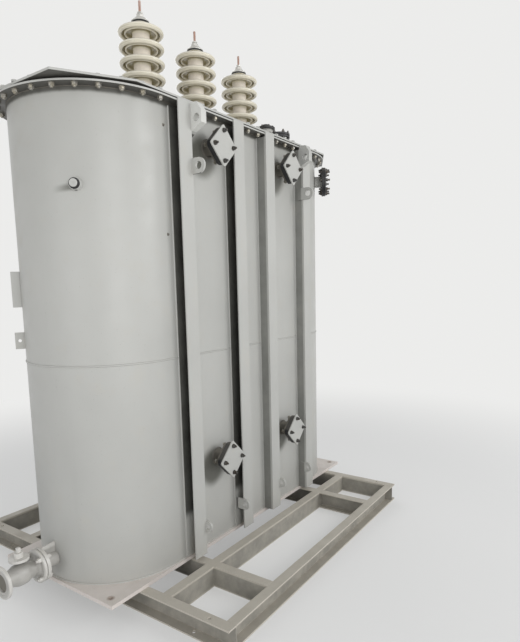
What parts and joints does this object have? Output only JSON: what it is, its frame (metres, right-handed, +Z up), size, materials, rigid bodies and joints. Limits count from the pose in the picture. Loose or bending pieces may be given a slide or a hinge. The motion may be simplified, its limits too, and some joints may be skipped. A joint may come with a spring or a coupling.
{
  "type": "power transformer",
  "caption": "Oil-filled power transformer tank with round ends, a flat bolted cover, a row of porcelain bushings, blanked radiator valves and a drain valve, on a frame of steel channels.",
  "frame": {"origin": "at the level that the base frame stands on, under the middle of the overall length and width", "axes": "+Z up; X along the tank with the near round end and the drain valve at -X; the front flat side faces -Y"},
  "size_m": [2.8116, 2.09, 3.3128],
  "materials": {
    "tank_paint": "satin light grey paint",
    "frame_paint": "satin warm grey paint",
    "porcelain_glaze": "glazed ivory porcelain",
    "black_rubber": "matt black sheet",
    "black_paint": "black paint",
    "fitting_steel": "plain steel"
  },
  "bodies": {
    "root": {"base_beam_end_near": "frame_paint", "base_beam_end_far": "frame_paint", "base_beam_side_front": "frame_paint", "base_beam_side_rear": "frame_paint", "base_frame_grid": "frame_paint", "tank_floor": "tank_paint", "tank_wall_lower": "tank_paint", "tank_wall_upper": "tank_paint", "tank_flange": "tank_paint", "cover_gasket": "black_rubber", "cover_plate": "tank_paint", "stiffener_front_1": "tank_paint", "stiffener_front_2": "tank_paint", "stiffener_front_3": "tank_paint", "stiffener_front_4": "tank_paint", "stiffener_rear_1": "tank_paint", "stiffener_rear_2": "tank_paint", "stiffener_rear_3": "tank_paint", "stiffener_rear_4": "tank_paint", "radiator_valve_front_upper_near": "tank_paint", "radiator_valve_front_upper_far": "tank_paint", "radiator_valve_front_lower_near": "tank_paint", "radiator_valve_front_lower_far": "tank_paint", "radiator_valve_rear_upper_near": "tank_paint", "radiator_valve_rear_upper_far": "tank_paint", "radiator_valve_rear_lower_near": "tank_paint", "radiator_valve_rear_lower_far": "tank_paint", "bushing_1_base": "tank_paint", "bushing_1_porcelain": "porcelain_glaze", "bushing_1_cap": "fitting_steel", "bushing_2_base": "tank_paint", "bushing_2_porcelain": "porcelain_glaze", "bushing_2_cap": "fitting_steel", "bushing_3_base": "tank_paint", "bushing_3_porcelain": "porcelain_glaze", "bushing_3_cap": "fitting_steel", "cover_turret": "tank_paint", "drain_pipe": "tank_paint", "drain_valve_body": "tank_paint", "drain_valve_stem": "fitting_steel", "end_boss": "tank_paint", "end_pipe_blank": "black_paint", "end_bracket_upper": "tank_paint", "end_bracket_lower": "tank_paint", "cover_neck_blank": "black_paint"}
  },
  "joints": []
}
